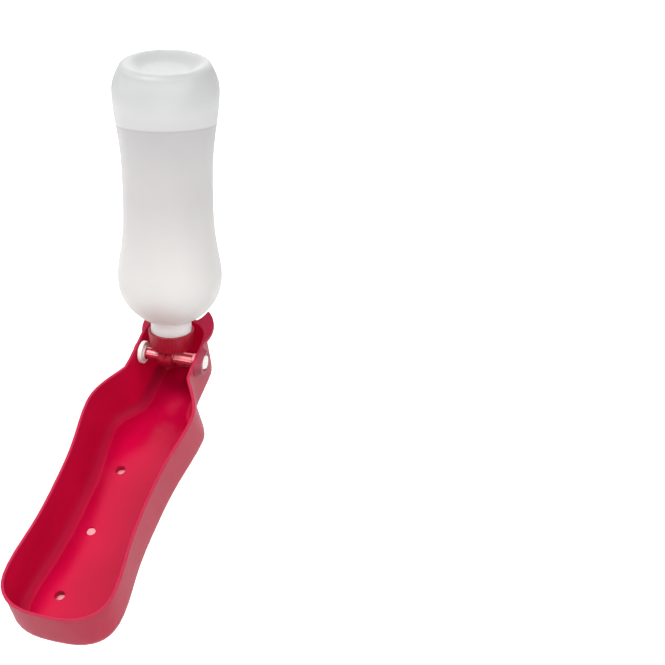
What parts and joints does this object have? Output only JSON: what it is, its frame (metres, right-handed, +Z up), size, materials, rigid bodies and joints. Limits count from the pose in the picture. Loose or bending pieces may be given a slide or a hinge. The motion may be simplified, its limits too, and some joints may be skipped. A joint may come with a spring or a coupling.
{
  "type": "dog travel water bottle",
  "caption": "Squeeze bottle held upside down over a trough that folds out from its screw cap; the trough turns a valve rod and carries a belt clip.",
  "frame": {"origin": "on the bottle's axis at the middle of its waist, where the hand holds it", "axes": "+Z up the bottle's axis to its base, as held for drinking; +X along the valve rod; the trough points to -Y and down"},
  "size_m": [0.0738, 0.231, 0.3073],
  "materials": {
    "milky_plastic": "translucent low-density polyethylene, satin",
    "soft_seal": "soft white elastomer",
    "cap_plastic": "moulded, satin",
    "white_plastic": "moulded, satin",
    "seal_rubber": "nitrile rubber",
    "tray_plastic": "moulded polypropylene, satin gloss"
  },
  "bodies": {
    "bottle": {"bottle": "milky_plastic"},
    "gasket": {"neck_gasket": "soft_seal"},
    "cap": {"screw_cap": "cap_plastic"},
    "tray": {"tray": "tray_plastic", "valve_spindle": "white_plastic", "spindle_seal_left": "seal_rubber", "spindle_seal_right": "seal_rubber", "spindle_collar": "white_plastic", "belt_clip": "white_plastic", "clip_rivet_upper": "white_plastic", "clip_rivet_middle": "white_plastic", "clip_rivet_lower": "white_plastic"}
  },
  "joints": [
    {"name": "cap_travel", "type": "slide", "parent": "bottle", "child": "gasket", "axis": [0, 0, -1], "range_m": [0, 0.002]},
    {"name": "cap_turn", "type": "hinge", "parent": "gasket", "child": "cap", "pos_m": [0, 0, -0.115], "axis": [0, 0, -1], "range_deg": [0, 360]},
    {"name": "tray_fold", "type": "hinge", "parent": "cap", "child": "tray", "pos_m": [0, -0.006, -0.12], "axis": [-1, 0, 0], "range_deg": [0, 110]}
  ],
  "couplings": [
    {"joint": "cap_travel", "follows": "cap_turn", "m_per_rad": 0.00031828}
  ]
}
